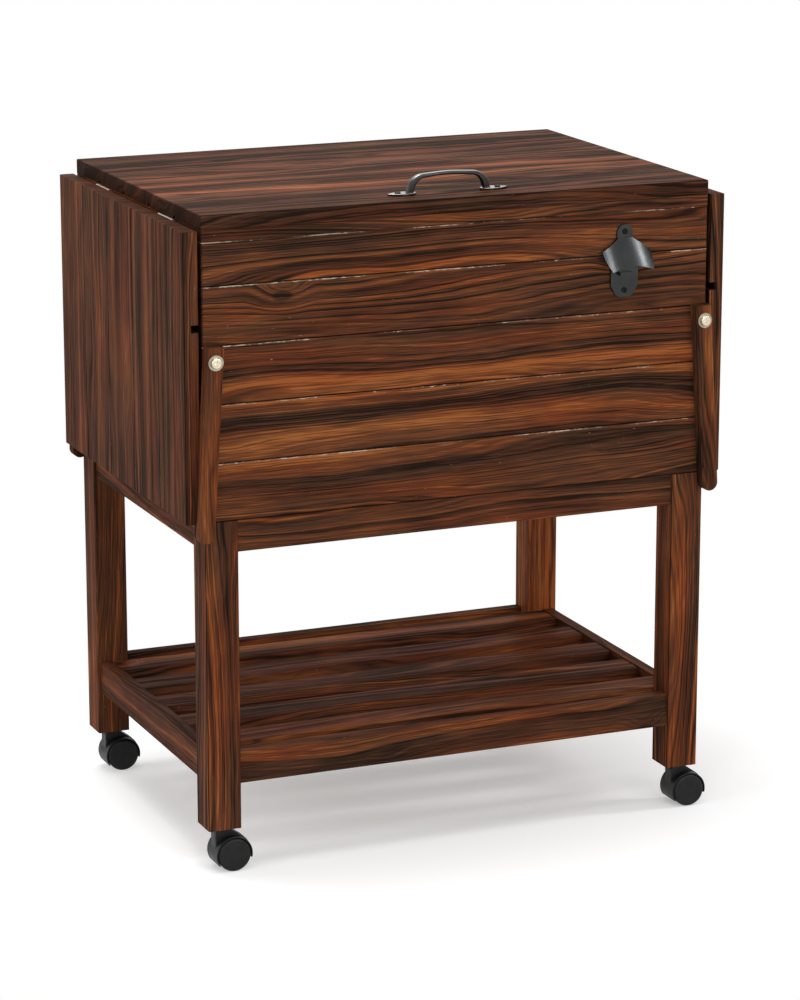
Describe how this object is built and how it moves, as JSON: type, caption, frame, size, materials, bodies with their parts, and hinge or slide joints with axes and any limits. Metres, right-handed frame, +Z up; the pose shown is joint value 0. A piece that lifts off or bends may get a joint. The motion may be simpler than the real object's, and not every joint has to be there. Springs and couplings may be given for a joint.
{
  "type": "rolling patio cooler",
  "caption": "Wooden rolling cooler cart: insulated tub under a hinged lid, folding side leaves on braces, slatted lower shelf, wall bottle opener and casters.",
  "frame": {"origin": "on the floor, under the middle of the overall box, which is the middle of the case in X and within 5 mm of it in Y", "axes": "+X to the right of someone facing the front, +Y from the front to the back, +Z up"},
  "size_m": [0.676, 0.4905, 0.7985],
  "materials": {
    "stained_wood": "satin",
    "plain_wood": "matte",
    "foam": "matte",
    "liner_sheet": "satin",
    "zinc_steel": "satin",
    "black_iron": "satin",
    "gunmetal": "satin",
    "dark_screws": "satin",
    "drain_plastic": "matte",
    "caster_plastic": "satin",
    "wheel_plastic": "satin"
  },
  "bodies": {
    "cart": {"leg_front_left": "stained_wood", "leg_front_right": "stained_wood", "leg_rear_left": "stained_wood", "leg_rear_right": "stained_wood", "long_aprons": "stained_wood", "side_aprons": "stained_wood", "front_boards": "stained_wood", "rear_boards": "stained_wood", "left_side_boards": "stained_wood", "right_side_boards": "stained_wood", "rim_long_boards": "stained_wood", "rim_short_boards": "stained_wood", "floor_panel": "plain_wood", "insulation_shell": "foam", "liner_tub": "liner_sheet", "drain_fitting": "drain_plastic", "drain_nut": "drain_plastic", "drain_tap": "drain_plastic", "shelf_long_rails": "stained_wood", "shelf_short_rails": "stained_wood", "shelf_slats": "stained_wood", "shelf_cleats": "plain_wood", "lid_hinge_case_leaves": "zinc_steel", "table_hinge_case_leaves": "zinc_steel", "hinge_pins": "zinc_steel", "opener": "gunmetal", "opener_screws": "dark_screws", "pivot_bolts": "zinc_steel", "pivot_washers": "zinc_steel", "caster_sockets": "zinc_steel"},
    "lid": {"lid_boards": "stained_wood", "lid_battens": "plain_wood", "lid_insulation": "foam", "lid_inner_skin": "liner_sheet", "lid_hinge_lid_leaves": "zinc_steel", "handle": "black_iron", "handle_screws": "dark_screws"},
    "left_leaf": {"left_leaf_boards": "stained_wood", "table_hinge_left_leaves": "zinc_steel"},
    "right_leaf": {"right_leaf_boards": "stained_wood", "table_hinge_right_leaves": "zinc_steel"},
    "left_brace": {"left_brace_front_arm": "stained_wood", "left_brace_rear_arm": "stained_wood", "left_brace_rod": "zinc_steel"},
    "right_brace": {"right_brace_front_arm": "stained_wood", "right_brace_rear_arm": "stained_wood", "right_brace_rod": "zinc_steel"},
    "tap_lever": {"drain_lever": "drain_plastic"},
    "caster_front_left": {"caster_hood_front_left": "caster_plastic", "caster_pins_front_left": "zinc_steel"},
    "wheels_front_left": {"caster_wheels_front_left": "wheel_plastic"},
    "caster_front_right": {"caster_hood_front_right": "caster_plastic", "caster_pins_front_right": "zinc_steel"},
    "wheels_front_right": {"caster_wheels_front_right": "wheel_plastic"},
    "caster_rear_left": {"caster_hood_rear_left": "caster_plastic", "caster_pins_rear_left": "zinc_steel"},
    "wheels_rear_left": {"caster_wheels_rear_left": "wheel_plastic"},
    "caster_rear_right": {"caster_hood_rear_right": "caster_plastic", "caster_pins_rear_right": "zinc_steel"},
    "wheels_rear_right": {"caster_wheels_rear_right": "wheel_plastic"}
  },
  "joints": [
    {"name": "lid_hinge", "type": "hinge", "parent": "cart", "child": "lid", "pos_m": [0, 0.2233, 0.7565], "axis": [-1, 0, 0], "range_deg": [0, 100]},
    {"name": "left_leaf_hinge", "type": "hinge", "parent": "cart", "child": "left_leaf", "pos_m": [-0.3185, 0, 0.754], "axis": [0, 1, 0], "range_deg": [0, 90]},
    {"name": "right_leaf_hinge", "type": "hinge", "parent": "cart", "child": "right_leaf", "pos_m": [0.3185, 0, 0.754], "axis": [0, -1, 0], "range_deg": [0, 90]},
    {"name": "left_brace_pivot", "type": "hinge", "parent": "cart", "child": "left_brace", "pos_m": [-0.3065, 0, 0.6095], "axis": [0, 1, 0], "range_deg": [0, 136.95]},
    {"name": "right_brace_pivot", "type": "hinge", "parent": "cart", "child": "right_brace", "pos_m": [0.3065, 0, 0.6095], "axis": [0, -1, 0], "range_deg": [0, 136.95]},
    {"name": "drain_tap_lever", "type": "hinge", "parent": "cart", "child": "tap_lever", "pos_m": [0, 0.168, 0.3805], "axis": [0, 1, 0], "range_deg": [0, 90]},
    {"name": "caster_swivel_front_left", "type": "hinge", "parent": "cart", "child": "caster_front_left", "pos_m": [-0.296, -0.2, 0.0535], "axis": [0, 0, 1], "continuous": true},
    {"name": "wheel_spin_front_left", "type": "hinge", "parent": "caster_front_left", "child": "wheels_front_left", "pos_m": [-0.2835, -0.2, 0.02], "axis": [0, 1, 0], "continuous": true},
    {"name": "caster_swivel_front_right", "type": "hinge", "parent": "cart", "child": "caster_front_right", "pos_m": [0.296, -0.2, 0.0535], "axis": [0, 0, 1], "continuous": true},
    {"name": "wheel_spin_front_right", "type": "hinge", "parent": "caster_front_right", "child": "wheels_front_right", "pos_m": [0.3085, -0.2, 0.02], "axis": [0, 1, 0], "continuous": true},
    {"name": "caster_swivel_rear_left", "type": "hinge", "parent": "cart", "child": "caster_rear_left", "pos_m": [-0.296, 0.2, 0.0535], "axis": [0, 0, 1], "continuous": true},
    {"name": "wheel_spin_rear_left", "type": "hinge", "parent": "caster_rear_left", "child": "wheels_rear_left", "pos_m": [-0.2835, 0.2, 0.02], "axis": [0, 1, 0], "continuous": true},
    {"name": "caster_swivel_rear_right", "type": "hinge", "parent": "cart", "child": "caster_rear_right", "pos_m": [0.296, 0.2, 0.0535], "axis": [0, 0, 1], "continuous": true},
    {"name": "wheel_spin_rear_right", "type": "hinge", "parent": "caster_rear_right", "child": "wheels_rear_right", "pos_m": [0.3085, 0.2, 0.02], "axis": [0, 1, 0], "continuous": true}
  ],
  "couplings": [
    {"joint": "left_brace_pivot", "follows": "left_leaf_hinge", "ratio": 1.5216},
    {"joint": "right_brace_pivot", "follows": "right_leaf_hinge", "ratio": 1.5216}
  ]
}
